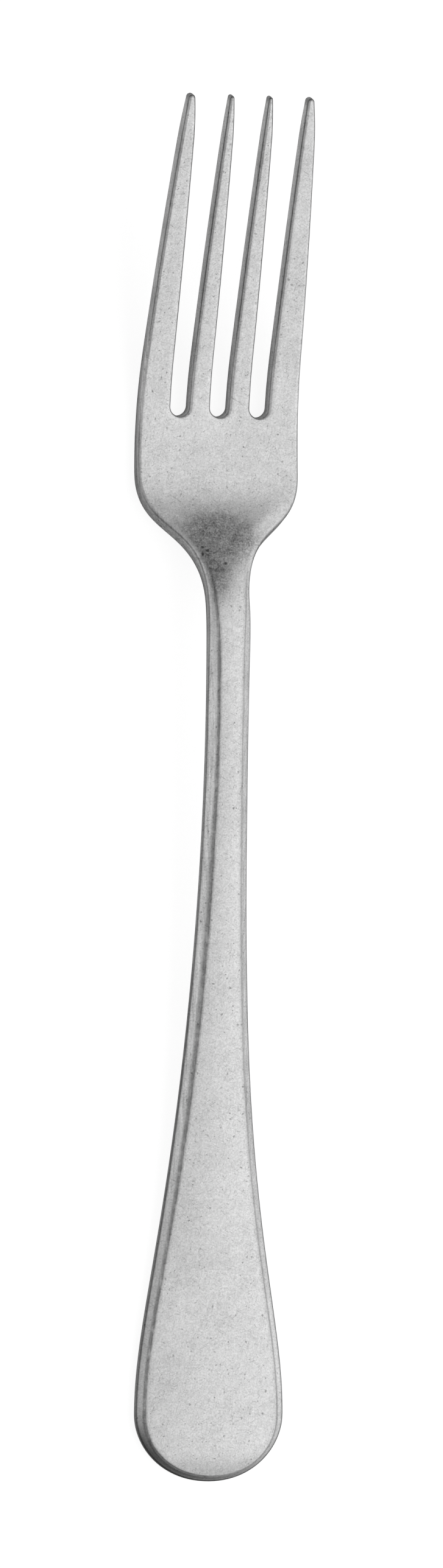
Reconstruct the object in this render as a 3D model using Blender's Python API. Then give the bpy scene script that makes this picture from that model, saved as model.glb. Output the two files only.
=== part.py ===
# Dessert fork pressed from one stainless steel blank, lying face up on a table.
# X runs across the fork, Y from the handle end to the tine tips, Z up. Sizes are in metres.

import math

import bmesh
import bpy
from mathutils import Vector
from mathutils.geometry import interpolate_bezier

# Plan view, in order from the handle end to the tine tips.
END_WIDTH = 0.0207
END_LENGTH = 0.0090
TAPER_LENGTH = 0.0954
NECK_WIDTH = 0.0059
NECK_LENGTH = 0.0128
SHOULDER_LENGTH = 0.0177
HEAD_LENGTH = 0.0079
TINE_LENGTH = 0.0422

# Handles of the plan curves, as shares of the width or length they belong to.
END_FULLNESS = 0.62
END_SIDE = 0.49
TAPER_START = 0.168
TAPER_FINISH = 0.689
SHOULDER_START = 0.62
SHOULDER_FINISH = 0.53
SIDE_CURVE = 1.65

# Slots and tines. The slots widen and the tines narrow towards the tips.
SLOT_ROOT_WIDTH = 0.00264
SLOT_TIP_WIDTH = 0.00450
INNER_TINE_ROOT = 0.00292
INNER_TINE_TIP = 0.00090
OUTER_TINE_ROOT = 0.00440
OUTER_TINE_TIP = 0.00134
STRAIGHT_TAPER = 0.29

# The last stretch of each tine is brought to a point, narrower and thinner.
POINT_LENGTH = 0.0055
POINT_NARROWING = 0.30
POINT_THINNING = 0.25

# Side view of the back: flat rest, arch over the neck, belly under the head, rising tines.
REST_LENGTH = 0.0180
ARCH_HEIGHT = 0.0060
DROP_LENGTH = 0.0265
BELLY_AHEAD = 0.0030
BELLY_RADIUS = 0.0400
TINE_ANGLE = math.radians(19.3)

# Thickness of the steel at four places along the fork.
END_THICKNESS = 0.0023
NECK_THICKNESS = 0.0027
HEAD_THICKNESS = 0.0022
TIP_THICKNESS = 0.0020

# Border of the handle: nearly level round the end, a steep flank along the slender stem.
STEM_START = 0.0140
STEM_RISE = 0.0440
STEM_STOP = 0.1020
STEM_FADE = 0.0220
BORDER_WIDTH = 0.00085
BORDER_FALL = 0.00025
END_FALL = 0.00025
END_BEVEL = 0.0100
END_NARROWING = 0.45
FLANK_EXTRA = 0.00020
FLANK_FALL = 0.00090
RIDGE_ROUND = 0.30

# Raised panel of the handle. Its crown is a slope at the sides, gone at the head.
STEP_WIDTH = 0.00036
STEP_HEIGHT = 0.00020
STEM_STEP_HEIGHT = 0.00012
PANEL_FADE = 0.0080
CROWN_SLOPE = 0.060
CROWN_FADE = 0.0060

# Outer band of the shoulder, which turns down towards its edge.
BAND_WIDTH = 0.0033
BAND_SLOPE = 0.20
BAND_RISE = 0.0080
BAND_HOLD = 0.0120
BAND_FADE = 0.0080

# Rounded edges.
EDGE_RADIUS = 0.00040
TINE_RADIUS = 0.00042
BACK_RADIUS = 0.00070
STEM_BACK_RADIUS = 0.00080

# How finely the curves are divided, how far below the slots the full rows stop,
# and how much closer the rows of a tine stand towards its tip.
END_STEPS = 9
TAPER_STEPS = 13
NECK_STEPS = 3
SHOULDER_STEPS = 11
ARC_STEPS = 3
TINE_STEPS = 9
TIP_TURNS = (0.0, 30.0, 54.0, 74.0)
APRON_SHARE = 1.4
TIP_CROWDING = 1.6

# Share of a narrow tine's half width that its rounded edge may take up.
ROUND_SHARE = 0.75

# The tines and slots together set the width of the head and the spread of the tips.
HEAD_WIDTH = 3 * SLOT_ROOT_WIDTH + 2 * INNER_TINE_ROOT + 2 * OUTER_TINE_ROOT
TIP_SPREAD = 3 * SLOT_TIP_WIDTH + 2 * INNER_TINE_TIP + 2 * OUTER_TINE_TIP

# Places along the fork, measured from the handle end.
AT_NECK = END_LENGTH + TAPER_LENGTH
AT_SHOULDER = AT_NECK + NECK_LENGTH
AT_HEAD = AT_SHOULDER + SHOULDER_LENGTH
AT_ROOT = AT_HEAD + HEAD_LENGTH
LENGTH = AT_ROOT + TINE_LENGTH
AT_BELLY = AT_HEAD + BELLY_AHEAD
AT_ARCH = AT_BELLY - DROP_LENGTH
SLOT_RADIUS = SLOT_ROOT_WIDTH / 2
AT_SLOT = AT_ROOT + SLOT_RADIUS


def ease(t):
    t = min(max(t, 0.0), 1.0)
    return t * t * (3 - 2 * t)


def ease_slope(t):
    t = min(max(t, 0.0), 1.0)
    return 6 * t * (1 - t)


# A tighter ease and its slope, for the drop from the neck to the head.
def drop(t):
    t = min(max(t, 0.0), 1.0)
    return t ** 3 * (10 - 15 * t + 6 * t * t), 30 * t * t * (1 - t) ** 2


# Height of the back above the table and its slope, at a place along the fork.
def back_line(s):
    if s <= AT_ARCH:
        run = AT_ARCH - REST_LENGTH
        t = (s - REST_LENGTH) / run
        return ARCH_HEIGHT * ease(t), ARCH_HEIGHT * ease_slope(t) / run
    if s <= AT_BELLY:
        share, slope = drop((s - AT_ARCH) / DROP_LENGTH)
        return ARCH_HEIGHT * (1 - share), -ARCH_HEIGHT * slope / DROP_LENGTH
    bend = BELLY_RADIUS * math.sin(TINE_ANGLE)
    run = min(s - AT_BELLY, bend)
    rise = BELLY_RADIUS - math.sqrt(BELLY_RADIUS ** 2 - run ** 2)
    slope = run / math.sqrt(BELLY_RADIUS ** 2 - run ** 2)
    return rise + (s - AT_BELLY - run) * math.tan(TINE_ANGLE), slope


# How far a place on a tine lies in its pointed stretch, from 0 to 1 at the tip.
def pointing(s):
    return max(1 - (LENGTH - s) / POINT_LENGTH, 0.0) ** 2


def thickness(s):
    if s <= AT_ARCH:
        share = max(s - REST_LENGTH, 0) / (AT_ARCH - REST_LENGTH)
        return END_THICKNESS + (NECK_THICKNESS - END_THICKNESS) * share
    if s <= AT_BELLY:
        share = drop((s - AT_ARCH) / DROP_LENGTH)[0]
        return NECK_THICKNESS + (HEAD_THICKNESS - NECK_THICKNESS) * share
    share = (s - AT_BELLY) / (LENGTH - AT_BELLY)
    level = HEAD_THICKNESS + (TIP_THICKNESS - HEAD_THICKNESS) * share
    return level * (1 - POINT_THINNING * pointing(s))


# Half width of the head and of the outer tine's outside edge.
def head_side(s):
    share = max(s - AT_HEAD, 0) / (LENGTH - AT_HEAD)
    return HEAD_WIDTH / 2 - (HEAD_WIDTH - TIP_SPREAD) / 2 * share ** SIDE_CURVE


# Inside and outside edge of the inner tine, then of the outer tine.
def tine_edges(s):
    share = (s - AT_SLOT) / (LENGTH - AT_SLOT)
    share = STRAIGHT_TAPER * share + (1 - STRAIGHT_TAPER) * share ** 2
    slot = SLOT_ROOT_WIDTH + (SLOT_TIP_WIDTH - SLOT_ROOT_WIDTH) * share
    inner = INNER_TINE_ROOT + (INNER_TINE_TIP - INNER_TINE_ROOT) * share
    outer = head_side(s) - 1.5 * slot - inner
    trim = POINT_NARROWING * pointing(s) / 2
    return (slot / 2 + inner * trim, slot / 2 + inner * (1 - trim),
            head_side(s) - outer * (1 - trim), head_side(s) - outer * trim)


def relief(s):
    return 1 - ease((s - AT_SHOULDER) / PANEL_FADE)


# How far the section is that of the slender stem, from 0 at the handle end to 1.
def stem(s):
    return ease((s - STEM_START) / STEM_RISE) * (1 - ease((s - STEM_STOP) / STEM_FADE))


def border_width(s):
    side = BORDER_WIDTH + FLANK_EXTRA * stem(s)
    return side * (1 - END_NARROWING * (1 - ease(s / END_BEVEL)))


def border_fall(s):
    side = BORDER_FALL + (FLANK_FALL - BORDER_FALL) * stem(s)
    return side + END_FALL * (1 - ease(s / END_BEVEL))


# Share of the border's fall, from 0 at the panel to 1 at the outline, with a rounded ridge.
def fall_share(t):
    if t <= 0:
        return 0.0
    rise = t * t / (2 * RIDGE_ROUND) if t < RIDGE_ROUND else t - RIDGE_ROUND / 2
    return rise / (1 - RIDGE_ROUND / 2)


# Crown of the panel: as steep at its sides all along the handle.
def crown_drop(s, x):
    half = (END_WIDTH + (NECK_WIDTH - END_WIDTH) * ease((s - END_LENGTH) / TAPER_LENGTH)) / 2
    fade = 1 - ease((s - AT_SHOULDER) / CROWN_FADE)
    return fade * CROWN_SLOPE * x ** 2 / (2 * half)


def band_drop(s, edge):
    start = AT_SHOULDER - CROWN_FADE / 2
    share = ease((s - start) / BAND_RISE) * (1 - ease((s - start - BAND_HOLD) / BAND_FADE))
    return share * BAND_SLOPE * BAND_WIDTH / 2 * max(1 - edge / BAND_WIDTH, 0.0) ** 2


def top_radius(s):
    share = ease((s - AT_SHOULDER) / (AT_ROOT - AT_SHOULDER))
    return EDGE_RADIUS + (TINE_RADIUS - EDGE_RADIUS) * share


# Front of the section above the back line: panel, step, border and rounded edge.
def front_height(s, edge, x):
    level, border = relief(s), border_width(s)
    step = STEP_HEIGHT + (STEM_STEP_HEIGHT - STEP_HEIGHT) * stem(s)
    height = thickness(s) - crown_drop(s, x) - band_drop(s, edge)
    height -= step * level * (1 - ease((edge - border) / STEP_WIDTH))
    height -= border_fall(s) * level * fall_share(1 - edge / (border + STEP_WIDTH))
    return height - rounding(edge, top_radius(s))


def back_height(s, edge):
    radius = BACK_RADIUS + (STEM_BACK_RADIUS - BACK_RADIUS) * stem(s)
    radius += (top_radius(s) - radius) * (1 - relief(s))
    return rounding(edge, radius)


def rounding(edge, radius):
    if edge >= radius:
        return 0.0
    return radius - math.sqrt(max(radius ** 2 - (radius - edge) ** 2, 0.0))


# Distances from an edge at which the sheet carries a line of points.
def edge_lines(half, s):
    radius = min(top_radius(s), ROUND_SHARE * half)
    return [0.0, radius * (1 - math.sqrt(0.5)), radius, half]


# The same for the outside edge, which carries the border and step on the handle.
def border_lines(half, s, handle_share):
    turned = edge_lines(half, s)[:3]
    start = turned[-1]
    step = [border_width(s) + STEP_WIDTH * k / 2 for k in range(3)]
    plain = [start + (half - start) * k / 3 for k in (1, 2, 3)]
    return turned + [b + (a - b) * handle_share for a, b in zip(step, plain)]


# Outline of one half from the handle end to just below the slots.
def plan_outline(at_top):
    end, neck, head = END_WIDTH / 2, NECK_WIDTH / 2, HEAD_WIDTH / 2
    points = interpolate_bezier(
        Vector((0, 0)), Vector((END_FULLNESS * end, 0)),
        Vector((end, END_LENGTH * (1 - END_SIDE))), Vector((end, END_LENGTH)), END_STEPS + 1)
    points += interpolate_bezier(
        Vector((end, END_LENGTH)), Vector((end, END_LENGTH + TAPER_START * TAPER_LENGTH)),
        Vector((neck, AT_NECK - TAPER_FINISH * TAPER_LENGTH)), Vector((neck, AT_NECK)), TAPER_STEPS + 1)[1:]
    for step in range(1, NECK_STEPS):
        points.append(Vector((neck, AT_NECK + NECK_LENGTH * step / NECK_STEPS)))
    points += interpolate_bezier(
        Vector((neck, AT_SHOULDER)), Vector((neck, AT_SHOULDER + SHOULDER_START * SHOULDER_LENGTH)),
        Vector((head, AT_HEAD - SHOULDER_FINISH * SHOULDER_LENGTH)), Vector((head, AT_HEAD)),
        SHOULDER_STEPS + 1)
    for step in (1, 2):
        s = AT_HEAD + (at_top - AT_HEAD) * step / 2
        points.append(Vector((head_side(s), s)))
    return [Vector((p[0], p[1])) for p in points]


def inward(points, i):
    if i == 0:
        return Vector((0, 1))
    ahead = points[min(i + 1, len(points) - 1)] - points[i - 1]
    return Vector((-ahead.y, ahead.x)).normalized()


# Sheet points are (x, along, distance to the edge).
# Lines round one slot root, from the slot edge out to the middle of the tines beside it.
def slot_lines(centre, first_turn, steps, near_half, far_half):
    lines = []
    for line in range(4):
        points = []
        for step in range(steps + 1):
            turn = first_turn + (math.pi / 2 - first_turn) * step / steps
            half = near_half + (far_half - near_half) * (1 + math.sin(turn)) / 2
            edge = edge_lines(half, AT_SLOT)[line]
            reach = SLOT_RADIUS + edge
            points.append((centre + reach * math.sin(turn), AT_SLOT - reach * math.cos(turn), edge))
        lines.append(points)
    return lines


# Full rows of the blank, each from the middle line out to the edge.
def blank_rows(root_line, out_half):
    at_top = AT_ROOT - APRON_SHARE * out_half
    outline = plan_outline(at_top)
    reach = root_line[-1][0]
    shares = [point[0] / reach for point in root_line]
    rows = []
    for i, point in enumerate(outline):
        normal = inward(outline, i)
        handle_share = 1 - ease((point.y - AT_SHOULDER) / (at_top - AT_SHOULDER))
        lines = border_lines(out_half, point.y, handle_share)
        rails = [(point + normal * edge, edge) for edge in lines]
        panel = rails[-1][0]
        row = [(panel.x * share, panel.y, lines[-1] + panel.x * (1 - share)) for share in shares]
        row += [(max(p.x, 0.0), p.y, edge) for p, edge in reversed(rails[:-1])]
        rows.append(row)
    side = head_side(AT_SLOT)
    root = list(root_line)
    root += [(side - edge, AT_SLOT, edge) for edge in reversed(border_lines(out_half, AT_SLOT, 0.0)[:-1])]
    middle = [tuple((a + b) / 2 for a, b in zip(p, q)) for p, q in zip(rows[-1], root)]
    return rows + [middle, root]


# Rows of one tine from the slot root to the rounded tip.
def tine_rows(inside, border):
    edges = tine_edges(LENGTH)
    tip = (edges[inside + 1] - edges[inside]) / 2
    run = LENGTH - tip - AT_SLOT
    stations = [AT_SLOT + run * (1 - (1 - k / TINE_STEPS) ** TIP_CROWDING) for k in range(TINE_STEPS)]
    stations = [(s, 0.0) for s in stations] + [(LENGTH - tip, math.radians(a)) for a in TIP_TURNS]
    rows = []
    for s, turn in stations:
        edges = tine_edges(s)
        middle = (edges[inside] + edges[inside + 1]) / 2
        half = (edges[inside + 1] - edges[inside]) / 2
        inner = edge_lines(half, s)
        outer = border_lines(half, s, 0.0) if border else inner
        lines = [(-1, edge) for edge in inner] + [(1, edge) for edge in reversed(outer[:-1])]
        row = []
        for side, edge in lines:
            offset = (half - edge) * math.cos(turn)
            if turn:
                edge = max(half - math.hypot(offset, half * math.sin(turn)), 0.0)
            row.append((middle + side * offset, s + half * math.sin(turn), edge))
        rows.append(row)
    return rows


def add_strip(bm, corner, near, far):
    for k in range(len(near) - 1):
        ring = []
        for point in (near[k], near[k + 1], far[k + 1], far[k]):
            vert = corner(point)
            if vert not in ring:
                ring.append(vert)
        if len(ring) > 2:
            bm.faces.new(ring)


def fork_mesh():
    bm = bmesh.new()
    edge_layer = bm.verts.layers.float.new("edge")
    made = {}

    def corner(point):
        key = (round(point[0], 8), round(point[1], 8))
        if key not in made:
            vert = bm.verts.new((point[0], point[1], 0.0))
            vert[edge_layer] = point[2]
            made[key] = vert
        return made[key]

    # Flat half blank: handle, neck and head, then slot roots, then the two tines of this half.
    edges = tine_edges(AT_SLOT)
    in_half, out_half = (edges[1] - edges[0]) / 2, (edges[3] - edges[2]) / 2
    middle_slot = slot_lines(0.0, 0.0, ARC_STEPS, in_half, in_half)
    side_slot = slot_lines((edges[1] + edges[2]) / 2, -math.pi / 2, 2 * ARC_STEPS, in_half, out_half)
    blank = blank_rows(middle_slot[-1] + side_slot[-1][1:], out_half)
    blocks = [blank, middle_slot, side_slot, tine_rows(0, False), tine_rows(2, True)]
    for block in blocks:
        for near, far in zip(block, block[1:]):
            add_strip(bm, corner, near, far)

    # Thickness, with the middle left open for the mirror.
    grown = bmesh.ops.extrude_face_region(bm, geom=bm.faces[:])
    front = {item for item in grown["geom"] if isinstance(item, bmesh.types.BMVert)}
    for vert in front:
        vert.co.z = END_THICKNESS
    bmesh.ops.recalc_face_normals(bm, faces=bm.faces[:])
    middle = [face for face in bm.faces if all(abs(vert.co.x) < 1e-9 for vert in face.verts)]
    bmesh.ops.delete(bm, geom=middle, context="FACES")

    # Press: each point takes its height in the section, square to the bent back line.
    for vert in bm.verts:
        s, edge = vert.co.y, vert[edge_layer]
        rise, slope = back_line(s)
        if vert in front:
            height = front_height(s, edge, vert.co.x)
        else:
            height = back_height(s, edge)
        lean = math.atan(slope)
        vert.co.y = s - height * math.sin(lean) - LENGTH / 2
        vert.co.z = rise + height * math.cos(lean)

    mesh = bpy.data.meshes.new("dessert_fork")
    bm.to_mesh(mesh)
    bm.free()
    return mesh


def steel():
    material = bpy.data.materials.new("stainless_steel")
    material.use_nodes = True
    shader = material.node_tree.nodes["Principled BSDF"]
    shader.inputs["Base Color"].default_value = (0.56, 0.56, 0.57, 1.0)
    shader.inputs["Metallic"].default_value = 1.0
    shader.inputs["Roughness"].default_value = 0.38
    return material


for old in list(bpy.data.objects):
    bpy.data.objects.remove(old, do_unlink=True)

fork = bpy.data.objects.new("dessert_fork", fork_mesh())
bpy.context.scene.collection.objects.link(fork)
fork.data.materials.append(steel())
fork.data.shade_smooth()
fork.data.set_sharp_from_angle(angle=math.radians(50))
mirror = fork.modifiers.new("both_halves", "MIRROR")
mirror.use_axis = (True, False, False)
mirror.use_clip = True
mirror.use_mirror_merge = True
mirror.merge_threshold = 0.00001
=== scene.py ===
import math

import bmesh
import bpy
from mathutils import Matrix, Vector
from mathutils.geometry import interpolate_bezier


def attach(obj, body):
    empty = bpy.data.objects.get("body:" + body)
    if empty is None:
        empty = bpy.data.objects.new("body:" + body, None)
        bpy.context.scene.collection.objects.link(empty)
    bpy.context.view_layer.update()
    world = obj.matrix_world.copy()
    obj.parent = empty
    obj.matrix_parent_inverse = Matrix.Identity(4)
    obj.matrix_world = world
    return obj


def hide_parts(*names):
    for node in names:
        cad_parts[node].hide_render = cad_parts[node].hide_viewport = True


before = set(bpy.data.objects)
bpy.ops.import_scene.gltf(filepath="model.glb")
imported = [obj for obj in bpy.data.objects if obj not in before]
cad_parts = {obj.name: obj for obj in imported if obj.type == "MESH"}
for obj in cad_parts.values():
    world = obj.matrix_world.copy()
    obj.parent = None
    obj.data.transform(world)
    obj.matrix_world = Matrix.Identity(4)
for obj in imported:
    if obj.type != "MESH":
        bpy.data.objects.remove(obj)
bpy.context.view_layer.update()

# Where the camera stands, fitted to the outline of the fork in the photo.
photoView = {
    "frameSize": (727, 2576),
    "lookAt": (0.0, 0.0, 0.005),
    "lookAtPixel": (365.2, 1297.9),
    "pixelsPerMetre": 12283.0,
    "distance": 1.5,
    "sideways": 18.0,    # degrees round the fork's length, towards its left
    "endways": -1.426,   # degrees towards the handle end
    "turned": 0.437,     # degrees in the picture plane
    "sensor": 36.0, "clipStart": 0.01,
}


def addCamera(view):
    side, end, turn = (math.radians(view[k]) for k in ("sideways", "endways", "turned"))
    towards = Vector((-math.sin(side) * math.cos(end), math.sin(end), math.cos(side) * math.cos(end)))
    up = Vector((0, 1, 0))
    up = (up - towards * up.dot(towards)).normalized()
    right = up.cross(towards)
    across = right * math.cos(turn) + up * math.sin(turn)
    above = up * math.cos(turn) - right * math.sin(turn)

    # Slide the camera so that the picture's centre, not the look-at point, lies on its axis.
    width, height = view["frameSize"]
    pixelX, pixelY = view["lookAtPixel"]
    slide = across * (width / 2 - pixelX) + above * (pixelY - height / 2)
    target = Vector(view["lookAt"]) + slide / view["pixelsPerMetre"]

    data = bpy.data.cameras.new("photoCamera")
    data.sensor_fit = "VERTICAL"
    data.sensor_height = view["sensor"]
    data.lens = view["sensor"] * view["pixelsPerMetre"] * view["distance"] / height
    data.clip_start = view["clipStart"]
    camera = bpy.data.objects.new("photoCamera", data)
    bpy.context.scene.collection.objects.link(camera)
    axes = Matrix((across, above, towards)).transposed().to_4x4()
    camera.matrix_world = Matrix.Translation(target + towards * view["distance"]) @ axes
    bpy.context.scene.camera = camera


addCamera(photoView)
print("camera set")

# Steel fork: sizes in metres, from the handle end to the tine tips.
fork = {
    "endWidth": 0.0207, "endLength": 0.0090, "taperLength": 0.0954,
    "neckWidth": 0.0059, "neckLength": 0.0128, "shoulderLength": 0.0177,
    "headLength": 0.0079, "tineLength": 0.0422,
    # handles of the plan curves
    "endFullness": 0.62, "endSide": 0.49, "taperStart": 0.168, "taperFinish": 0.689,
    "shoulderStart": 0.62, "shoulderFinish": 0.53, "sideCurve": 1.65,
    # slots and tines
    "slotRoot": 0.00264, "slotTip": 0.00450, "innerRoot": 0.00292, "innerTip": 0.00090,
    "outerRoot": 0.00440, "outerTip": 0.00134, "straightTaper": 0.29, "tipReach": 0.94,
    # last stretch of each tine, brought to a point
    "pointLength": 0.0055, "pointNarrowing": 0.30, "pointThinning": 0.256, "roundShare": 0.75,
    # side view of the back
    "restLength": 0.0180, "archHeight": 0.0060, "dropLength": 0.0265,
    "bellyAhead": 0.0030, "bellyRadius": 0.0400, "tineAngle": 19.3,
    # thickness of the steel
    "endThick": 0.0023, "neckThick": 0.0027, "headThick": 0.0022, "tipThick": 0.0020,
    # border of the handle: nearly level round the end, a steep flank along the stem
    "stemStart": 0.0140, "stemRise": 0.0440, "stemStop": 0.1020, "stemFade": 0.0220,
    "borderWidth": 0.00085, "borderFall": 0.00025,
    "endFall": 0.00025, "endBevel": 0.0100, "endNarrowing": 0.45,
    "flankExtra": 0.00020, "flankFall": 0.00090, "ridgeRound": 0.30,
    "neckNarrowing": 0.50, "narrowFrom": 0.1115, "narrowTo": 0.1215,
    # raised panel
    "stepWidth": 0.00036, "stepHeight": 0.00020, "stemStep": 0.00012, "panelFade": 0.0080,
    "crownSlope": 0.060, "stemCrown": 0.080, "crownFade": 0.0060,
    # reach of the crease's painted shade, in step widths: outward at places along the fork, and inward
    "stepOutward": ((0.030, 0.9), (0.062, 1.7), (0.080, 1.7), (0.098, 0.8)), "stepInward": 1.6,
    "stepEndFade": 0.5,    # share of that shade lost at the handle end
    # soft outer band of the shoulder
    "bandWidth": 0.0033, "bandSlope": 0.20, "bandRise": 0.0080, "bandHold": 0.0120, "bandFade": 0.0080,
    # rounded edges
    "edgeRadius": 0.00040, "tineRadius": 0.00042, "backRadius": 0.00070, "stemBack": 0.00080,
    # painted shade on the cut side, partly a duller cut finish, at places along the fork:
    # its top edge, its bottom edge, and a line just inside the top with its half width; the last places of
    # top and bottom darken the tine tips
    "edgeShadeTop": ((0.003, 0.5), (0.010, 0.36), (0.060, 0.5), (0.080, 0.3), (0.121, 0.25), (0.128, 0.75),
                (0.133, 0.7), (0.138, 0.3), (0.144, 0.1), (0.1840, 0.15), (0.1848, 0.8)),
    "edgeShadeBottom": ((0.025, 0.5), (0.060, 0.65), (0.085, 0.5), (0.108, 0.6), (0.120, 0.9), (0.130, 0.8),
                   (0.140, 0.8), (0.150, 0.7), (0.158, 0.1), (0.1840, 0.1), (0.1848, 0.8)),
    "edgeShadeLine": ((0.060, 1.2), (0.080, 1.05), (0.140, 1.0), (0.144, 0.6), (0.150, 0.6), (0.158, 1.2)),
    "lineWidth": ((0.060, 0.00021), (0.085, 0.00017), (0.110, 0.00015), (0.140, 0.00013)),
    "rimReach": 1.2, "lineInside": 0.2,    # in edge radii
    # painted shade on the border round the handle end: where it fades out, and more painted shade at the
    # very end
    "endShadeFrom": 0.0045, "endShadeFade": 0.0065, "endSoftShade": 0.45, "endSoftShadeLength": 0.0045,
    # how finely the mesh is divided
    "endRows": 26, "taperRows": 120, "neckRows": 18, "shoulderRows": 34, "apronRows": 5,
    "arcSteps": 8, "tineRows": 62, "tipRows": 9,
    "edgeTurns": 6, "flankLines": 4, "stepLines": 6, "flatLines": 3,
    "apronReach": 1.4,    # room left below the slots, in half widths of the outer tine
    "weld": 0.00001,      # how near the mirrored halves have to lie to join
}
tiny = 1e-9    # as good as nothing, in metres


def ease(t):
    t = min(max(t, 0.0), 1.0)
    return t * t * (3 - 2 * t)


def easeSlope(t):
    t = min(max(t, 0.0), 1.0)
    return 6 * t * (1 - t)


# Value at a place along the fork, from a list of places and values.
def along(plan, s):
    before = plan[0]
    for after in plan:
        if s < after[0]:
            share = ease((s - before[0]) / max(after[0] - before[0], tiny))
            return before[1] + (after[1] - before[1]) * share
        before = after
    return before[1]


# A tighter ease, for the drop from the neck to the head.
def drop(t):
    t = min(max(t, 0.0), 1.0)
    return t ** 3 * (10 - 15 * t + 6 * t * t), 30 * t * t * (1 - t) ** 2


# Places along the fork that follow from its lengths.
def measureUp(f):
    f["atNeck"] = f["endLength"] + f["taperLength"]
    f["atShoulder"] = f["atNeck"] + f["neckLength"]
    f["atHead"] = f["atShoulder"] + f["shoulderLength"]
    f["atRoot"] = f["atHead"] + f["headLength"]
    f["length"] = f["atRoot"] + f["tineLength"]
    f["atBelly"] = f["atHead"] + f["bellyAhead"]
    f["atArch"] = f["atBelly"] - f["dropLength"]
    f["slotRadius"] = f["slotRoot"] / 2
    f["atSlot"] = f["atRoot"] + f["slotRadius"]
    f["headWidth"] = 3 * f["slotRoot"] + 2 * f["innerRoot"] + 2 * f["outerRoot"]
    f["tipSpread"] = 3 * f["slotTip"] + 2 * f["innerTip"] + 2 * f["outerTip"]


# Height of the back above the table and its slope.
def backLine(f, s):
    if s <= f["atArch"]:
        run = f["atArch"] - f["restLength"]
        t = (s - f["restLength"]) / run
        return f["archHeight"] * ease(t), f["archHeight"] * easeSlope(t) / run
    if s <= f["atBelly"]:
        share, slope = drop((s - f["atArch"]) / f["dropLength"])
        return f["archHeight"] * (1 - share), -f["archHeight"] * slope / f["dropLength"]
    radius, angle = f["bellyRadius"], math.radians(f["tineAngle"])
    run = min(s - f["atBelly"], radius * math.sin(angle))
    root = math.sqrt(radius ** 2 - run ** 2)
    return radius - root + (s - f["atBelly"] - run) * math.tan(angle), run / root


# How far a place on a tine lies in its pointed stretch, from 0 to 1 at the tip.
def pointing(f, s):
    return max(1 - (f["length"] - s) / f["pointLength"], 0.0) ** 2


def thickness(f, s):
    if s <= f["atArch"]:
        share = max(s - f["restLength"], 0) / (f["atArch"] - f["restLength"])
        return f["endThick"] + (f["neckThick"] - f["endThick"]) * share
    if s <= f["atBelly"]:
        share = drop((s - f["atArch"]) / f["dropLength"])[0]
        return f["neckThick"] + (f["headThick"] - f["neckThick"]) * share
    share = (s - f["atBelly"]) / (f["length"] - f["atBelly"])
    level = f["headThick"] + (f["tipThick"] - f["headThick"]) * share
    return level * (1 - f["pointThinning"] * pointing(f, s))


def headSide(f, s):
    share = max(s - f["atHead"], 0) / (f["length"] - f["atHead"])
    return f["headWidth"] / 2 - (f["headWidth"] - f["tipSpread"]) / 2 * share ** f["sideCurve"]


# Inside and outside edge of the inner tine, then of the outer tine.
def tineEdges(f, s):
    share = (s - f["atSlot"]) / (f["length"] - f["atSlot"])
    share = f["straightTaper"] * share + (1 - f["straightTaper"]) * share ** 2
    slot = f["slotRoot"] + (f["slotTip"] - f["slotRoot"]) * share
    inner = f["innerRoot"] + (f["innerTip"] - f["innerRoot"]) * share
    outer = headSide(f, s) - 1.5 * slot - inner
    trim = f["pointNarrowing"] * pointing(f, s) / 2
    return (slot / 2 + inner * trim, slot / 2 + inner * (1 - trim),
            headSide(f, s) - outer * (1 - trim), headSide(f, s) - outer * trim)


def relief(f, s):
    return 1 - ease((s - f["atShoulder"]) / f["panelFade"])


def rounding(edge, radius):
    if edge >= radius:
        return 0.0
    return radius - math.sqrt(max(radius ** 2 - (radius - edge) ** 2, 0.0))


# Half width of the handle, for the crown of its panel.
def handleHalf(f, s):
    share = ease((s - f["endLength"]) / f["taperLength"])
    return (f["endWidth"] + (f["neckWidth"] - f["endWidth"]) * share) / 2


# Crown of the face: steeper along the stem than at the handle end, gone at the head.
def crownDrop(f, s, x):
    fade = 1 - ease((s - f["atShoulder"]) / f["crownFade"])
    return fade * (f["crownSlope"] + f["stemCrown"] * stem(f, s)) * x ** 2 / (2 * handleHalf(f, s))


# Outer band of the shoulder, which turns down towards its edge.
def bandDrop(f, s, edge):
    start = f["atShoulder"] - f["crownFade"] / 2
    share = ease((s - start) / f["bandRise"]) * (1 - ease((s - start - f["bandHold"]) / f["bandFade"]))
    return share * f["bandSlope"] * f["bandWidth"] / 2 * max(1 - edge / f["bandWidth"], 0.0) ** 2


# How far the section is that of the slender stem, from 0 at the handle end to 1.
def stem(f, s):
    return ease((s - f["stemStart"]) / f["stemRise"]) * (1 - ease((s - f["stemStop"]) / f["stemFade"]))


def borderWidth(f, s):
    side = f["borderWidth"] + f["flankExtra"] * stem(f, s)
    side *= 1 - f["neckNarrowing"] * ease((s - f["narrowFrom"]) / (f["narrowTo"] - f["narrowFrom"]))
    return side * (1 - f["endNarrowing"] * (1 - ease(s / f["endBevel"])))


def borderFall(f, s):
    side = f["borderFall"] + (f["flankFall"] - f["borderFall"]) * stem(f, s)
    return side + f["endFall"] * (1 - ease(s / f["endBevel"]))


def stepHeight(f, s):
    return f["stepHeight"] + (f["stemStep"] - f["stepHeight"]) * stem(f, s)


# Share of the border's fall, from 0 at the panel to 1 at the outline, with a rounded ridge.
def fallShare(f, t):
    soft = f["ridgeRound"]
    if t <= 0:
        return 0.0
    return (t * t / (2 * soft) if t < soft else t - soft / 2) / (1 - soft / 2)


def topRadius(f, s):
    share = ease((s - f["atShoulder"]) / (f["atRoot"] - f["atShoulder"]))
    return f["edgeRadius"] + (f["tineRadius"] - f["edgeRadius"]) * share


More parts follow.
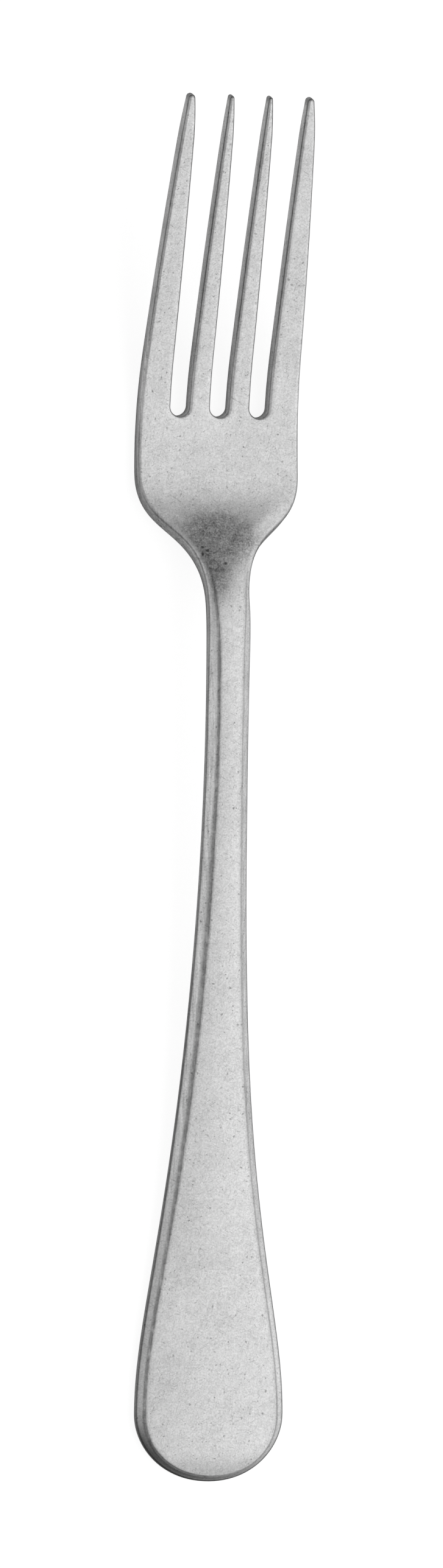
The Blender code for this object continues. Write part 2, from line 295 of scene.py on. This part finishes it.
def frontHeight(f, s, edge, x):
    level, border = relief(f, s), borderWidth(f, s)
    height = thickness(f, s) - crownDrop(f, s, x) - bandDrop(f, s, edge)
    height -= stepHeight(f, s) * level * (1 - ease((edge - border) / f["stepWidth"]))
    height -= borderFall(f, s) * level * fallShare(f, 1 - edge / (border + f["stepWidth"]))
    return height - rounding(edge, topRadius(f, s))


def backHeight(f, s, edge):
    radius = f["backRadius"] + (f["stemBack"] - f["backRadius"]) * stem(f, s)
    radius += (topRadius(f, s) - radius) * (1 - relief(f, s))
    return rounding(edge, radius)


# Distances from an edge at which the sheet carries a line of points.
def edgeLines(f, half, s):
    turns = [math.pi / 2 * k / f["edgeTurns"] for k in range(f["edgeTurns"] + 1)]
    radius = min(topRadius(f, s), f["roundShare"] * half)
    lines = [radius * (1 - math.cos(turn)) for turn in turns]
    count = f["flatLines"]
    return lines + [lines[-1] + (half - lines[-1]) * k / count for k in range(1, count + 1)]


# The same for the outside edge, which carries border and step on the handle.
def borderLines(f, half, s, handleShare):
    turned = edgeLines(f, half, s)[:f["edgeTurns"] + 1]
    start, border = turned[-1], borderWidth(f, s)
    handle = [start + (border - start) * k / f["flankLines"] for k in range(1, f["flankLines"])]
    handle += [border + f["stepWidth"] * k / f["stepLines"] for k in range(f["stepLines"] + 1)]
    plain = [start + (half - start) * (k + 1) / len(handle) for k in range(len(handle))]
    return turned + [b + (a - b) * handleShare for a, b in zip(handle, plain)]


def curvePoints(a, b, c, d, count):
    return [Vector(p[:2]) for p in interpolate_bezier(Vector(a), Vector(b), Vector(c), Vector(d), count + 1)]


# Outline of one half from the handle end to just below the slots.
def planOutline(f, atTop):
    end, neck, head = f["endWidth"] / 2, f["neckWidth"] / 2, f["headWidth"] / 2
    points = curvePoints((0, 0), (f["endFullness"] * end, 0),
                         (end, f["endLength"] * (1 - f["endSide"])), (end, f["endLength"]), f["endRows"])
    points += curvePoints((end, f["endLength"]), (end, f["endLength"] + f["taperStart"] * f["taperLength"]),
                          (neck, f["atNeck"] - f["taperFinish"] * f["taperLength"]), (neck, f["atNeck"]),
                          f["taperRows"])[1:]
    places = [f["atNeck"] + f["neckLength"] * k / f["neckRows"] for k in range(1, f["neckRows"])]
    points += [Vector((neck, s)) for s in places]
    points += curvePoints((neck, f["atShoulder"]),
                          (neck, f["atShoulder"] + f["shoulderStart"] * f["shoulderLength"]),
                          (head, f["atHead"] - f["shoulderFinish"] * f["shoulderLength"]),
                          (head, f["atHead"]), f["shoulderRows"])
    for k in range(1, f["apronRows"] + 1):
        s = f["atHead"] + (atTop - f["atHead"]) * k / f["apronRows"]
        points.append(Vector((headSide(f, s), s)))
    return points


def inward(points, i):
    if i == 0:
        return Vector((0, 1))
    ahead = points[min(i + 1, len(points) - 1)] - points[i - 1]
    return Vector((-ahead.y, ahead.x)).normalized()


# Sheet points are (x, along, distance to the edge).
# Lines round one slot root, from the slot's edge out to the middle of the tines beside it.
def slotLines(f, centre, firstTurn, steps, nearHalf, farHalf):
    lines = []
    for line in range(f["edgeTurns"] + f["flatLines"] + 1):
        points = []
        for step in range(steps + 1):
            turn = firstTurn + (math.pi / 2 - firstTurn) * step / steps
            half = nearHalf + (farHalf - nearHalf) * (1 + math.sin(turn)) / 2
            edge = edgeLines(f, half, f["atSlot"])[line]
            reach = f["slotRadius"] + edge
            points.append((centre + reach * math.sin(turn), f["atSlot"] - reach * math.cos(turn), edge))
        lines.append(points)
    return lines


# Full rows of the blank, each from the middle line out to the edge.
def blankRows(f, rootLine, outHalf):
    atTop = f["atRoot"] - f["apronReach"] * outHalf
    outline = planOutline(f, atTop)
    shares = [point[0] / rootLine[-1][0] for point in rootLine]
    rows = []
    for i, point in enumerate(outline):
        normal = inward(outline, i)
        handleShare = 1 - ease((point.y - f["atShoulder"]) / (atTop - f["atShoulder"]))
        lines = borderLines(f, outHalf, point.y, handleShare)
        rails = [(point + normal * edge, edge) for edge in lines]
        panel = rails[-1][0]
        row = [(panel.x * share, panel.y, lines[-1] + panel.x * (1 - share)) for share in shares]
        row += [(max(p.x, 0.0), p.y, edge) for p, edge in reversed(rails[:-1])]
        rows.append(row)
    side = headSide(f, f["atSlot"])
    outside = borderLines(f, outHalf, f["atSlot"], 0.0)[:-1]
    root = list(rootLine) + [(side - edge, f["atSlot"], edge) for edge in reversed(outside)]
    last = rows[-1]
    for k in range(1, f["apronRows"] + 1):
        share = k / f["apronRows"]
        rows.append([tuple(a + (b - a) * share for a, b in zip(p, q)) for p, q in zip(last, root)])
    return rows


# Rows of one tine from the slot root to the rounded tip.
def tineRows(f, inside, border):
    tip = tineEdges(f, f["length"])
    tip = (tip[inside + 1] - tip[inside]) / 2
    straight = f["length"] - tip - f["atSlot"]
    stations = [(f["atSlot"] + straight * k / f["tineRows"], 0.0) for k in range(f["tineRows"])]
    stations += [(f["length"] - tip, math.pi / 2 * k / f["tipRows"]) for k in range(f["tipRows"] + 1)]
    rows = []
    for s, turn in stations:
        edges = tineEdges(f, s)
        middle = (edges[inside] + edges[inside + 1]) / 2
        half = (edges[inside + 1] - edges[inside]) / 2
        inner = edgeLines(f, half, s)
        outer = borderLines(f, half, s, 0.0) if border else inner
        lines = [(-1, edge) for edge in inner] + [(1, edge) for edge in reversed(outer[:-1])]
        row = []
        for side, edge in lines:
            offset = (half - edge) * math.cos(turn)
            if turn:
                edge = max(half - math.hypot(offset, half * math.sin(turn)), 0.0)
            row.append((middle + side * offset, s + half * f["tipReach"] * math.sin(turn), edge))
        rows.append(row)
    return rows


def addStrip(bm, corner, near, far):
    for k in range(len(near) - 1):
        ring = []
        for point in (near[k], near[k + 1], far[k + 1], far[k]):
            vert = corner(point)
            if vert not in ring:
                ring.append(vert)
        if len(ring) > 2:
            bm.faces.new(ring)


def forkMesh(f):
    bm = bmesh.new()
    edgeLayer = bm.verts.layers.float.new("edgeDistance")
    stepLayer = bm.verts.layers.float.new("stepShade")
    rimLayer = bm.verts.layers.float.new("rimShade")
    flankLayer = bm.verts.layers.float.new("flankShade")
    endLayer = bm.verts.layers.float.new("endShade")
    made = {}

    def corner(point):
        key = (round(point[0], 8), round(point[1], 8))
        if key not in made:
            made[key] = bm.verts.new((point[0], point[1], 0.0))
            made[key][edgeLayer] = point[2]
        return made[key]

    # Flat half blank: handle, neck and head, then the slot roots, then the two tines of this half.
    edges = tineEdges(f, f["atSlot"])
    inHalf, outHalf = (edges[1] - edges[0]) / 2, (edges[3] - edges[2]) / 2
    middleSlot = slotLines(f, 0.0, 0.0, f["arcSteps"], inHalf, inHalf)
    sideSlot = slotLines(f, (edges[1] + edges[2]) / 2, -math.pi / 2, 2 * f["arcSteps"], inHalf, outHalf)
    blank = blankRows(f, middleSlot[-1] + sideSlot[-1][1:], outHalf)
    for block in (blank, middleSlot, sideSlot, tineRows(f, 0, False), tineRows(f, 2, True)):
        for near, far in zip(block, block[1:]):
            addStrip(bm, corner, near, far)

    # Thickness, with the middle left open for the mirror.
    grown = bmesh.ops.extrude_face_region(bm, geom=bm.faces[:])
    front = {item for item in grown["geom"] if isinstance(item, bmesh.types.BMVert)}
    for vert in front:
        vert.co.z = f["endThick"]
    bmesh.ops.recalc_face_normals(bm, faces=bm.faces[:])
    middle = [face for face in bm.faces if all(abs(vert.co.x) < tiny for vert in face.verts)]
    bmesh.ops.delete(bm, geom=middle, context="FACES")

    # The extrusion makes its walls in no fixed order, so edges and faces are put in one.
    bm.verts.index_update()
    for items in (bm.edges, bm.faces):
        ordered = sorted(items, key=lambda item: sorted(vert.index for vert in item.verts))
        for k, item in enumerate(ordered):
            item.index = k
        items.sort()

    # Press: each point takes its height in the section, square to the bent back line.
    for vert in bm.verts:
        s, edge = vert.co.y, vert[edgeLayer]
        rise, slope = backLine(f, s)
        radius = topRadius(f, s)
        rim = 1 - ease(edge / (f["rimReach"] * radius))
        if vert in front:
            height = frontHeight(f, s, edge, vert.co.x)
            # Painted shade along the cut sides, on a line just inside the top edge, and over the very end of
            # the handle.
            line = 1 - ease(abs(edge - f["lineInside"] * radius) / along(f["lineWidth"], s))
            soft = f["endSoftShade"] * (1 - ease(s / f["endSoftShadeLength"]))
            vert[rimLayer] = max(rim * along(f["edgeShadeTop"], s), line * along(f["edgeShadeLine"], s), soft)
            # Painted shade in the crease beside the panel and on the border round the handle end.
            within = (edge - borderWidth(f, s)) / f["stepWidth"]
            bevel = 1 - ease(within)
            vert[endLayer] = bevel * (1 - ease((s - f["endShadeFrom"]) / f["endShadeFade"]))
            fromStep = within - 0.5    # from the middle of the step
            reach = f["stepInward"] if fromStep > 0 else along(f["stepOutward"], s)
            vert[stepLayer] = relief(f, s) * (1 - ease(abs(fromStep) / reach))
            vert[stepLayer] *= 1 - f["stepEndFade"] * (1 - ease(s / f["endBevel"]))
            vert[flankLayer] = relief(f, s) * stem(f, s) * bevel + (1 - relief(f, s)) * rim
        else:
            # Painted shade along the bottom of the cut sides.
            vert[rimLayer] = rim * along(f["edgeShadeBottom"], s)
            vert[flankLayer] = (1 - relief(f, s)) * rim
            height = backHeight(f, s, edge)
        lean = math.atan(slope)
        vert.co.y = s - height * math.sin(lean) - f["length"] / 2
        vert.co.z = rise + height * math.cos(lean)

    mesh = bpy.data.meshes.new("steelFork")
    bm.to_mesh(mesh)
    bm.free()
    return mesh


measureUp(fork)
steelFork = bpy.data.objects.new("steelFork", forkMesh(fork))
bpy.context.scene.collection.objects.link(steelFork)
steelFork.data.shade_smooth()
halves = steelFork.modifiers.new("bothHalves", "MIRROR")
halves.use_axis = (True, False, False)
halves.use_clip = True
halves.use_mirror_merge = True
halves.merge_threshold = fork["weld"]
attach(steelFork, "root")
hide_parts("dessert_fork")
print("fork meshed with", len(steelFork.data.polygons), "faces in its half")


# Small helpers for node trees: an input is a plain value or another node's output.
def feed(tree, socket, value):
    if isinstance(value, bpy.types.NodeSocket):
        tree.links.new(value, socket)
    else:
        socket.default_value = value


def mathNode(tree, operation, *values, clamp=False):
    made = tree.nodes.new("ShaderNodeMath")
    made.operation = operation
    made.use_clamp = clamp
    for socket, value in zip(made.inputs, values):
        feed(tree, socket, value)
    return made.outputs[0]


def rangeNode(tree, value, low, high, toLow=0.0, toHigh=1.0):
    made = tree.nodes.new("ShaderNodeMapRange")
    made.interpolation_type = "SMOOTHSTEP"
    for name, item in (("Value", value), ("From Min", low), ("From Max", high),
                       ("To Min", toLow), ("To Max", toHigh)):
        feed(tree, made.inputs[name], item)
    return made.outputs["Result"]


def noiseNode(tree, position, scale, detail=2.0, roughness=0.5):
    made = tree.nodes.new("ShaderNodeTexNoise")
    feed(tree, made.inputs["Vector"], position)
    for name, item in (("Scale", scale), ("Detail", detail), ("Roughness", roughness)):
        feed(tree, made.inputs[name], item)
    return made.outputs["Fac"]


# Position divided by a size along each axis.
def stretched(tree, position, *sizes):
    stretch = tree.nodes.new("ShaderNodeCombineXYZ")
    for socket, size in zip(stretch.inputs, sizes):
        feed(tree, socket, mathNode(tree, "DIVIDE", 1.0, size))
    made = tree.nodes.new("ShaderNodeVectorMath")
    made.operation = "MULTIPLY"
    feed(tree, made.inputs[0], position)
    feed(tree, made.inputs[1], stretch.outputs[0])
    return made.outputs[0]


# A node group in place, with its own values.
def groupNode(tree, group, position, values={}):
    made = tree.nodes.new("ShaderNodeGroup")
    made.node_tree = group
    feed(tree, made.inputs["Position"], position)
    for name, item in values.items():
        feed(tree, made.inputs[name], item)
    return made.outputs


def newGroup(name, inputs, outputs):
    tree = bpy.data.node_groups.new(name, "ShaderNodeTree")
    for label, kind, value in inputs:
        socket = tree.interface.new_socket(name=label, in_out="INPUT", socket_type=kind)
        if value is not None:
            socket.default_value = value
    for label in outputs:
        tree.interface.new_socket(name=label, in_out="OUTPUT", socket_type="NodeSocketFloat")
    return tree, tree.nodes.new("NodeGroupInput"), tree.nodes.new("NodeGroupOutput")


# Marks that tumbling leaves on steel. Each noise has its detail and roughness.
tumble = {
    "grainNoise": (3.0, 0.65), "cloudNoise": (2.0, 0.6),
    "mottleNoise": (1.0, 0.5), "streakNoise": (2.0, 0.55),
    # pits: how ragged, how much of each is its floor, and which cells have one
    "pitRagged": 0.60, "pitFloor": 0.4, "pitsFrom": 0.30, "pitsTo": 0.90, "pitDepth": 0.9,
    # scuffs: direction in radians, length, and how rare
    "scuffs": ((0.5, 0.0011, 0.66), (1.9, 0.0014, 0.67), (2.7, 0.0009, 0.66)),
    "scuffDetail": 1.0, "scuffFade": 0.08, "scuffDepth": 0.5,
}


# Short straight scuffs in one direction.
def scuffGroup(t):
    tree, ins, outs = newGroup("scuffMarks", [
        ("Position", "NodeSocketVector", None), ("Angle", "NodeSocketFloat", 0.0),
        ("Length", "NodeSocketFloat", 0.0012), ("Width", "NodeSocketFloat", 0.00012),
        ("Cut", "NodeSocketFloat", 0.66)], ["Marks"])
    turn = tree.nodes.new("ShaderNodeVectorRotate")
    turn.rotation_type = "Z_AXIS"
    feed(tree, turn.inputs["Vector"], ins.outputs["Position"])
    feed(tree, turn.inputs["Angle"], ins.outputs["Angle"])
    length, width = ins.outputs["Length"], ins.outputs["Width"]
    field = noiseNode(tree, stretched(tree, turn.outputs[0], length, width, length), 1.0, t["scuffDetail"])
    above = mathNode(tree, "ADD", ins.outputs["Cut"], t["scuffFade"])
    feed(tree, outs.inputs["Marks"], rangeNode(tree, field, ins.outputs["Cut"], above))
    return tree


# Tumbled steel: cloudy tone, fine grain, small pits and scuffs.
def tumbledGroup(t, scuffs):
    tree, ins, outs = newGroup("tumbledFinish", [
        ("Position", "NodeSocketVector", None), ("Grain Size", "NodeSocketFloat", 0.00025),
        ("Mottle Size", "NodeSocketFloat", 0.0010), ("Cloud Size", "NodeSocketFloat", 0.0050),
        ("Pit Spacing", "NodeSocketFloat", 0.0006), ("Pit Size", "NodeSocketFloat", 0.34),
        ("Streak Width", "NodeSocketFloat", 0.00028), ("Streak Length", "NodeSocketFloat", 0.0045)],
        ["Grain", "Mottle", "Clouds", "Pits", "Scuffs", "Streaks", "Height"])
    spot = ins.outputs["Position"]

    def scaleFor(size):
        return mathNode(tree, "DIVIDE", 1.0, ins.outputs[size])

    grain = noiseNode(tree, spot, scaleFor("Grain Size"), *t["grainNoise"])
    clouds = noiseNode(tree, spot, scaleFor("Cloud Size"), *t["cloudNoise"])
    mottle = noiseNode(tree, spot, scaleFor("Mottle Size"), *t["mottleNoise"])

    cells = tree.nodes.new("ShaderNodeTexVoronoi")
    feed(tree, cells.inputs["Vector"], spot)
    feed(tree, cells.inputs["Scale"], scaleFor("Pit Spacing"))
    chance = tree.nodes.new("ShaderNodeSeparateColor")
    feed(tree, chance.inputs["Color"], cells.outputs["Color"])
    reach = mathNode(tree, "MULTIPLY", ins.outputs["Pit Size"], chance.outputs["Red"])
    ragged = mathNode(tree, "SUBTRACT", grain, 0.5)
    ragged = mathNode(tree, "MULTIPLY_ADD", ragged, t["pitRagged"], cells.outputs["Distance"])
    floor = mathNode(tree, "MULTIPLY", reach, t["pitFloor"])
    pits = mathNode(tree, "SUBTRACT", 1.0, rangeNode(tree, ragged, floor, reach))
    pitted = rangeNode(tree, chance.outputs["Green"], t["pitsFrom"], t["pitsTo"])
    pits = mathNode(tree, "MULTIPLY", pits, pitted)

    marks = None
    for angle, length, cut in t["scuffs"]:
        more = groupNode(tree, scuffs, spot, {"Angle": angle, "Length": length, "Cut": cut})["Marks"]
        marks = more if marks is None else mathNode(tree, "MAXIMUM", marks, more)

    length, width = ins.outputs["Streak Length"], ins.outputs["Streak Width"]
    streaks = noiseNode(tree, stretched(tree, spot, width, length, width), 1.0, *t["streakNoise"])

    height = mathNode(tree, "MULTIPLY_ADD", pits, -t["pitDepth"], grain)
    height = mathNode(tree, "MULTIPLY_ADD", marks, -t["scuffDepth"], height)
    for name, item in (("Grain", grain), ("Mottle", mottle), ("Clouds", clouds), ("Pits", pits),
                       ("Scuffs", marks), ("Streaks", streaks), ("Height", height)):
        feed(tree, outs.inputs[name], item)
    return tree


# Soft spot round a place: 1 at its middle, 0 at its reach.
def spotGroup():
    tree, ins, outs = newGroup("softSpot", [
        ("Position", "NodeSocketVector", None), ("Middle", "NodeSocketVector", None),
        ("Stretch", "NodeSocketVector", None), ("Core", "NodeSocketFloat", 0.3)], ["Spot"])
    away, scaled, far = (tree.nodes.new("ShaderNodeVectorMath") for k in range(3))
    away.operation, scaled.operation, far.operation = "SUBTRACT", "MULTIPLY", "LENGTH"
    feed(tree, away.inputs[0], ins.outputs["Position"])
    feed(tree, away.inputs[1], ins.outputs["Middle"])
    feed(tree, scaled.inputs[0], away.outputs[0])
    feed(tree, scaled.inputs[1], ins.outputs["Stretch"])
    feed(tree, far.inputs[0], scaled.outputs[0])
    spot = rangeNode(tree, far.outputs["Value"], ins.outputs["Core"], 1.0, 1.0, 0.0)
    feed(tree, outs.inputs["Spot"], spot)
    return tree


# Finish of the fork's steel, with painted shade on its cut sides, in its crease, on the border round the
# handle end and in the hollow of the neck.
steelLook = {
    "colour": (0.60, 0.60, 0.60), "grazing": (0.45, 0.45, 0.45, 1.0),
    "roughness": 0.38, "cloudRoughness": 0.10, "pitRoughness": 0.15, "cutEdgeRoughness": 0.14,
    "grain": 0.90, "mottle": 0.18, "clouds": 0.34, "pits": 0.28, "scuffs": 0.20,
    "streaks": 0.10, "flankStreaks": 0.90, "cutStreaks": 0.30, "stepStreaks": 1.6, "stepMottle": 1.5,
    # painted shade: tone of the cut sides, of the crease beside the panel and of the border round the handle
    # end, the crease and the end border darker on the left than on the right
    "rimShadeTone": 0.33,
    "creaseShadeLeft": 0.38, "creaseShadeRight": 0.80, "creaseShadeReach": 0.002,
    "endShadeLeft": 0.36, "endShadeRight": 0.80, "endShadeSideReach": 0.0085,
    "bump": 0.000010,
    # painted shade in the hollow of the neck, mottled, and the marks in it:
    # each place is followed by its half width and half length
    "stains": ((-0.0010, 0.0337, 0.0082, 0.0054), (-0.0022, 0.0300, 0.0036, 0.0062)),
    "stainFrom": 0.0002, "stainTo": 0.0010,    # distance from the edge at which it sets in
    "stain": 0.44, "stainMottle": 0.60, "stainGrain": 1.2,
    "dashPlace": (-0.0024, 0.0314, 0.0030, 0.0022), "dashWidth": 0.00034, "dashCut": 0.58, "dashDepth": 0.25,
    "dashes": ((0.6, 0.0011), (2.5, 0.0008)),    # direction in radians and length
    "nicks": ((-0.0032, 0.0324, 0.00034, 0.00023), (-0.0026, 0.0320, 0.00042, 0.00027),
              (-0.0033, 0.0315, 0.00023, 0.00044), (-0.0003, 0.0303, 0.00036, 0.00028)),
    "nickDepth": 0.72,
}


def forkSteel(look, tumbled, scuffs, softSpot):
    material = bpy.data.materials.new("tumbledSteel")
    material.use_nodes = True
    tree = material.node_tree
    shader = tree.nodes["Principled BSDF"]
    shader.inputs["Metallic"].default_value = 1.0
    shader.inputs["Specular Tint"].default_value = look["grazing"]

    place = tree.nodes.new("ShaderNodeTexCoord").outputs["Object"]
    finish = groupNode(tree, tumbled, place)

    # Cut sides, the crease beside the panel and the border round the end carry painted shade, darker than
    # the faces; the cut sides are also rougher.
    cut, step, flank, end, edge = (tree.nodes.new("ShaderNodeAttribute") for k in range(5))
    cut.attribute_name = "rimShade"
    step.attribute_name = "stepShade"
    flank.attribute_name = "flankShade"
    end.attribute_name = "endShade"
    edge.attribute_name = "edgeDistance"

    sides = tree.nodes.new("ShaderNodeSeparateXYZ")
    feed(tree, sides.inputs[0], place)

    def swing(name):
        return mathNode(tree, "SUBTRACT", finish[name], 0.5)

    def shaded(tone, mask, change):
        return mathNode(tree, "MULTIPLY", tone, mathNode(tree, "MULTIPLY_ADD", mask, change, 1.0))

    def leftToRight(reach, left, right):
        return rangeNode(tree, sides.outputs["X"], -reach, reach, left - 1.0, right - 1.0)

    tone = mathNode(tree, "MULTIPLY_ADD", swing("Grain"), look["grain"], 1.0)
    for name, share in (("Mottle", look["mottle"]), ("Clouds", look["clouds"])):
        tone = mathNode(tree, "MULTIPLY_ADD", swing(name), share, tone)
    tone = mathNode(tree, "MULTIPLY_ADD", finish["Pits"], -look["pits"], tone)
    tone = mathNode(tree, "MULTIPLY_ADD", finish["Scuffs"], -look["scuffs"], tone)

    # The press drew its streaks along the fork, plainest on the flank and on the cut sides.
    drawn = swing("Streaks")
    depth = mathNode(tree, "MULTIPLY_ADD", flank.outputs["Fac"], look["flankStreaks"], look["streaks"])
    depth = mathNode(tree, "MULTIPLY_ADD", cut.outputs["Fac"], look["cutStreaks"], depth)
    tone = mathNode(tree, "MULTIPLY_ADD", drawn, depth, tone)
    # Painted shade on the cut sides, partly a duller cut finish.
    tone = shaded(tone, cut.outputs["Fac"], look["rimShadeTone"] - 1.0)
    broken = mathNode(tree, "MULTIPLY_ADD", drawn, look["stepStreaks"], 1.0)
    broken = mathNode(tree, "MULTIPLY_ADD", swing("Mottle"), look["stepMottle"], broken)
    creased = mathNode(tree, "MULTIPLY", step.outputs["Fac"], broken, clamp=True)
    # Painted shade in the crease, darker on the left of the fork than on its right.
    creaseShadeFactor = leftToRight(look["creaseShadeReach"], look["creaseShadeLeft"], look["creaseShadeRight"])
    tone = shaded(tone, creased, creaseShadeFactor)
    # Painted shade on the border round the handle end, darker on the left than on the right.
    endShadeFactor = leftToRight(look["endShadeSideReach"], look["endShadeLeft"], look["endShadeRight"])
    tone = shaded(tone, end.outputs["Fac"], endShadeFactor)

    def spotAt(x, y, wide, long):
        values = {"Middle": (x, y, 0.0), "Stretch": (1 / wide, 1 / long, 0.0)}
        return groupNode(tree, softSpot, place, values)["Spot"]

    # Painted shade in the hollow of the neck, mottled, set in a little from the edges.
    stained = mathNode(tree, "MAXIMUM", *(spotAt(*spot) for spot in look["stains"]))
    inside = rangeNode(tree, edge.outputs["Fac"], look["stainFrom"], look["stainTo"])
    stained = mathNode(tree, "MULTIPLY", stained, inside)
    uneven = look["stain"]
    for name, share in (("Mottle", look["stainMottle"]), ("Grain", look["stainGrain"])):
        uneven = mathNode(tree, "MULTIPLY_ADD", swing(name), -share, uneven)
    stained = mathNode(tree, "MULTIPLY", uneven, stained)
    tone = mathNode(tree, "MULTIPLY", tone, mathNode(tree, "SUBTRACT", 1.0, stained))
    dashed = spotAt(*look["dashPlace"])
    for angle, length in look["dashes"]:
        values = {"Angle": angle, "Length": length, "Width": look["dashWidth"], "Cut": look["dashCut"]}
        dash = groupNode(tree, scuffs, place, values)["Marks"]
        dark = mathNode(tree, "MULTIPLY", dash, dashed)
        tone = shaded(tone, dark, -look["dashDepth"])
    for spot in look["nicks"]:
        tone = shaded(tone, spotAt(*spot), -look["nickDepth"])

    colour = tree.nodes.new("ShaderNodeVectorMath")
    colour.operation = "SCALE"
    colour.inputs[0].default_value = look["colour"]
    feed(tree, colour.inputs["Scale"], tone)
    feed(tree, shader.inputs["Base Color"], colour.outputs[0])

    cloudy = look["cloudRoughness"]
    rough = mathNode(tree, "MULTIPLY_ADD", finish["Clouds"], cloudy, look["roughness"] - cloudy / 2)
    rough = mathNode(tree, "MULTIPLY_ADD", finish["Pits"], look["pitRoughness"], rough)
    rough = mathNode(tree, "MULTIPLY_ADD", cut.outputs["Fac"], look["cutEdgeRoughness"], rough)
    feed(tree, shader.inputs["Roughness"], rough)

    bump = tree.nodes.new("ShaderNodeBump")
    bump.inputs["Strength"].default_value = 1.0
    bump.inputs["Distance"].default_value = look["bump"]
    feed(tree, bump.inputs["Height"], finish["Height"])
    feed(tree, shader.inputs["Normal"], bump.outputs["Normal"])
    return material


scuffMarks = scuffGroup(tumble)
tumbledFinish = tumbledGroup(tumble, scuffMarks)
steelFork.data.materials.append(forkSteel(steelLook, tumbledFinish, scuffMarks, spotGroup()))
print("steel finished")

# Pale table top that shows as white and keeps the fork's shadow,
# lighter in the picture than in the steel.
table = {
    "size": 24.0, "drop": 0.00002, "colour": (0.9, 0.9, 0.9, 1.0), "roughness": 0.9,
    # glow and strength of the shadow, first in reflections and then in the picture
    "glow": 0.27, "shadow": 1.0, "pictureGlow": 0.86, "pictureShadow": 0.30,
}


def addTable(t):
    bm = bmesh.new()
    bmesh.ops.create_grid(bm, x_segments=1, y_segments=1, size=t["size"] / 2)
    mesh = bpy.data.meshes.new("tableTop")
    bm.to_mesh(mesh)
    bm.free()
    top = bpy.data.objects.new("tableTop", mesh)
    top.location.z = -t["drop"]
    bpy.context.scene.collection.objects.link(top)

    material = bpy.data.materials.new("paleTable")
    material.use_nodes = True
    tree = material.node_tree
    plain = tree.nodes["Principled BSDF"]
    plain.inputs["Base Color"].default_value = t["colour"]
    plain.inputs["Roughness"].default_value = t["roughness"]
    plain.inputs["Specular IOR Level"].default_value = 0.0
    ray = tree.nodes.new("ShaderNodeLightPath")
    direct = ray.outputs["Is Camera Ray"]
    shown = mathNode(tree, "MAXIMUM", direct, ray.outputs["Is Glossy Ray"])
    shown = mathNode(tree, "MAXIMUM", shown, ray.outputs["Is Transmission Ray"])
    glow = tree.nodes.new("ShaderNodeEmission")
    strength = mathNode(tree, "MULTIPLY_ADD", direct, t["pictureGlow"] - t["glow"], t["glow"])
    feed(tree, glow.inputs["Strength"], strength)
    dimmed = tree.nodes.new("ShaderNodeMixShader")
    depth = mathNode(tree, "MULTIPLY_ADD", direct, t["pictureShadow"] - t["shadow"], t["shadow"])
    feed(tree, dimmed.inputs["Fac"], depth)
    feed(tree, dimmed.inputs[2], plain.outputs[0])
    seen = tree.nodes.new("ShaderNodeAddShader")
    feed(tree, seen.inputs[0], glow.outputs[0])
    feed(tree, seen.inputs[1], dimmed.outputs[0])
    choose = tree.nodes.new("ShaderNodeMixShader")
    feed(tree, choose.inputs["Fac"], shown)
    feed(tree, choose.inputs[1], plain.outputs[0])
    feed(tree, choose.inputs[2], seen.outputs[0])
    feed(tree, tree.nodes["Material Output"].inputs["Surface"], choose.outputs[0])
    mesh.materials.append(material)


addTable(table)

# Soft studio: a bright panel from overhead to the right, a weaker one to the left,
# and a dim room all round. Angles are in degrees from straight up, positive to the right;
# reach is the sine of the angle along the fork.
studio = {
    "room": 0.30, "edge": 13.5, "soft": 5.0,    # edge: where the two panels meet
    "key": 1.42, "keySide": 0.96, "sideFrom": 30.0, "sideTo": 75.0, "keyBehind": 0.10,
    "reachAhead": 0.486, "reachGrowth": 0.263, "reachBehind": -0.78, "reachSoft": 0.09,
    "fill": 0.65, "fillLow": 0.98, "lowFrom": -35.0, "lowTo": -70.0, "fillReach": 0.42,
}


def addStudio(s):
    world = bpy.data.worlds.new("softStudio")
    world.use_nodes = True
    tree = world.node_tree
    place = tree.nodes.new("ShaderNodeTexCoord")
    towards = tree.nodes.new("ShaderNodeSeparateXYZ")
    feed(tree, towards.inputs[0], place.outputs["Generated"])
    lengthwise = towards.outputs["Y"]
    lean = mathNode(tree, "ARCTAN2", towards.outputs["X"], towards.outputs["Z"])

    def leaning(low, high, toLow=0.0, toHigh=1.0):
        return rangeNode(tree, lean, math.radians(low), math.radians(high), toLow, toHigh)

    def within(ahead, behind):
        soft = s["reachSoft"]
        near = rangeNode(tree, mathNode(tree, "SUBTRACT", ahead, lengthwise), -soft, soft)
        far = rangeNode(tree, mathNode(tree, "SUBTRACT", lengthwise, behind), -soft, soft)
        return mathNode(tree, "MULTIPLY", near, far)

    ahead = mathNode(tree, "MULTIPLY_ADD", lean, s["reachGrowth"], s["reachAhead"])
    isKey = leaning(s["edge"] - s["soft"], s["edge"] + s["soft"])
    key = leaning(s["sideFrom"], s["sideTo"], s["key"], s["keySide"])
    key = mathNode(tree, "MULTIPLY", key, within(ahead, s["reachBehind"]))
    key = mathNode(tree, "MULTIPLY", key, mathNode(tree, "MULTIPLY_ADD", lengthwise, -s["keyBehind"], 1.0))
    fill = leaning(s["lowTo"], s["lowFrom"], s["fillLow"], s["fill"])
    fill = mathNode(tree, "MULTIPLY", fill, within(s["fillReach"], -s["fillReach"]))
    fill = mathNode(tree, "MULTIPLY", fill, mathNode(tree, "SUBTRACT", 1.0, isKey))
    light = mathNode(tree, "MULTIPLY_ADD", key, isKey, fill)
    light = mathNode(tree, "MAXIMUM", light, s["room"])
    feed(tree, tree.nodes["Background"].inputs["Strength"], light)
    tree.nodes["Background"].inputs["Color"].default_value = (1.0, 1.0, 1.0, 1.0)
    bpy.context.scene.world = world


addStudio(studio)
bpy.context.scene.view_settings.view_transform = "Standard"
print("table and light set")
